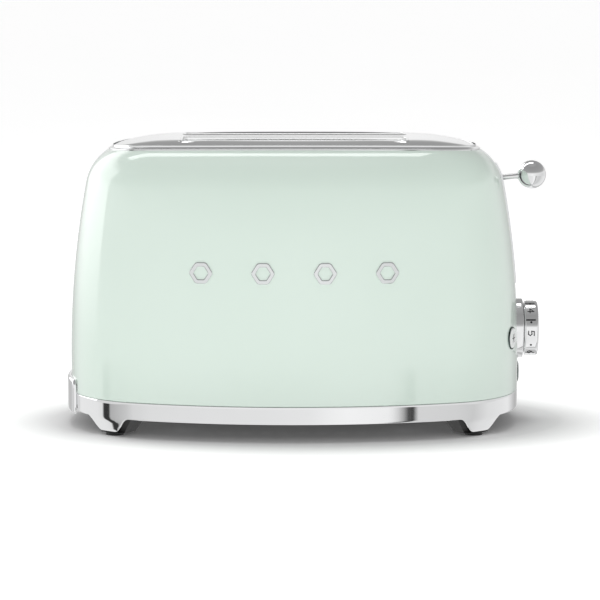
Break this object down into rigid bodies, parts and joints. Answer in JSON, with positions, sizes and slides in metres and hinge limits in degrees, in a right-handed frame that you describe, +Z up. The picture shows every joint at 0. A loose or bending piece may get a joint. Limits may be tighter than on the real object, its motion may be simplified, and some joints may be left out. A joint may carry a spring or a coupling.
{
  "type": "toaster",
  "caption": "Pop-up toaster with a rounded pressed shell, domed steel top with bread slots, chrome base on feet, side lever with a ball end and a browning knob.",
  "frame": {"origin": "on the supporting surface, under the centre of the overall box", "axes": "+Z up, +X towards the lever and knob end, -Y towards the long front face"},
  "size_m": [0.3102, 0.194, 0.1854],
  "materials": {
    "shell_enamel": "gloss pastel green enamel on pressed steel",
    "polished_chrome": "polished chrome plate",
    "polished_steel": "polished stainless sheet",
    "ornament_chrome": "bright chrome, dark edged",
    "satin_chrome": "satin chrome",
    "galvanised_steel": "plain zinc coated sheet",
    "bright_aluminium": "bright reflector sheet",
    "rack_steel": "plated wire",
    "steel_rod": "ground steel",
    "screw_steel": "zinc plated",
    "copper_coil": "enamelled copper winding",
    "heater_ribbon": "heat stained resistance ribbon",
    "mica": "flaky mica sheet",
    "circuit_board": "glass fibre board with solder mask",
    "black_plastic": "textured black moulding",
    "dark_plastic": "smooth dark moulding",
    "white_plastic": "plain moulding",
    "pale_plastic": "gloss moulding",
    "foot_rubber": "black rubber"
  },
  "bodies": {
    "housing": {"outer_shell": "shell_enamel", "trim_ring": "polished_chrome", "top_panel": "polished_steel", "base_skirt": "polished_chrome", "underbody": "black_plastic", "rubber_feet": "foot_rubber", "front_ornaments": "ornament_chrome", "control_bezel": "satin_chrome", "lever_slot_trim": "satin_chrome", "button_rings": "dark_plastic", "left_chassis_plate": "galvanised_steel", "right_chassis_plate": "galvanised_steel", "front_reflector": "bright_aluminium", "rear_reflector": "bright_aluminium", "front_heater_board": "mica", "front_heater_winding": "heater_ribbon", "centre_heater_board": "mica", "centre_heater_winding": "heater_ribbon", "rear_heater_board": "mica", "rear_heater_winding": "heater_ribbon", "guide_rod": "steel_rod", "top_bracket": "galvanised_steel", "lift_spring": "steel_rod", "electromagnet": "copper_coil", "control_board": "circuit_board", "browning_potentiometer": "dark_plastic", "tact_switches": "black_plastic", "terminal_block": "white_plastic", "cord_gland": "foot_rubber", "cord_wrap_hooks": "black_plastic", "tray_rails": "galvanised_steel", "base_screws": "screw_steel", "chassis_screws": "screw_steel"},
    "lever": {"carriage": "galvanised_steel", "lever_stem": "polished_chrome", "lever_ball": "polished_chrome", "front_bread_rack": "rack_steel", "rear_bread_rack": "rack_steel", "armature_plate": "steel_rod"},
    "front_outer_grille": {"front_outer_guard": "rack_steel"},
    "front_inner_grille": {"front_inner_guard": "rack_steel"},
    "rear_inner_grille": {"rear_inner_guard": "rack_steel"},
    "rear_outer_grille": {"rear_outer_guard": "rack_steel"},
    "knob": {"browning_knob": "satin_chrome", "knob_shaft": "steel_rod"},
    "front_push": {"front_button": "pale_plastic"},
    "rear_push": {"rear_button": "pale_plastic"},
    "lower_push": {"lower_button": "pale_plastic"},
    "crumb_tray": {"crumb_tray_pan": "galvanised_steel", "crumb_tray_front": "polished_chrome"}
  },
  "joints": [
    {"name": "lever_slide", "type": "slide", "parent": "housing", "child": "lever", "axis": [0, 0, -1], "range_m": [0, 0.06], "stiffness_N_per_m": 120, "springref_m": -0.045, "deforming": ["lift_spring"]},
    {"name": "front_outer_grille_slide", "type": "slide", "parent": "housing", "child": "front_outer_grille", "axis": [0, 1, 0], "range_m": [0, 0.006]},
    {"name": "front_inner_grille_slide", "type": "slide", "parent": "housing", "child": "front_inner_grille", "axis": [0, -1, 0], "range_m": [0, 0.006]},
    {"name": "rear_inner_grille_slide", "type": "slide", "parent": "housing", "child": "rear_inner_grille", "axis": [0, 1, 0], "range_m": [0, 0.006]},
    {"name": "rear_outer_grille_slide", "type": "slide", "parent": "housing", "child": "rear_outer_grille", "axis": [0, -1, 0], "range_m": [0, 0.006]},
    {"name": "knob_turn", "type": "hinge", "parent": "housing", "child": "knob", "pos_m": [0.14238, 0, 0.0599], "axis": [1, 0, 0], "range_deg": [-135, 135]},
    {"name": "front_push_slide", "type": "slide", "parent": "housing", "child": "front_push", "axis": [-0.9433, 0.3319, 0], "range_m": [0, 0.0008], "stiffness_N_per_m": 400, "springref_m": -0.0012},
    {"name": "rear_push_slide", "type": "slide", "parent": "housing", "child": "rear_push", "axis": [-0.9433, -0.3319, 0], "range_m": [0, 0.0008], "stiffness_N_per_m": 400, "springref_m": -0.0012},
    {"name": "lower_push_slide", "type": "slide", "parent": "housing", "child": "lower_push", "axis": [-1, 0, 0], "range_m": [0, 0.0008], "stiffness_N_per_m": 400, "springref_m": -0.0012},
    {"name": "tray_slide", "type": "slide", "parent": "housing", "child": "crumb_tray", "axis": [-1, 0, 0], "range_m": [0, 0.2]}
  ],
  "couplings": [
    {"joint": "front_outer_grille_slide", "follows": "lever_slide", "ratio": 0.1},
    {"joint": "front_inner_grille_slide", "follows": "lever_slide", "ratio": 0.1},
    {"joint": "rear_inner_grille_slide", "follows": "lever_slide", "ratio": 0.1},
    {"joint": "rear_outer_grille_slide", "follows": "lever_slide", "ratio": 0.1}
  ]
}
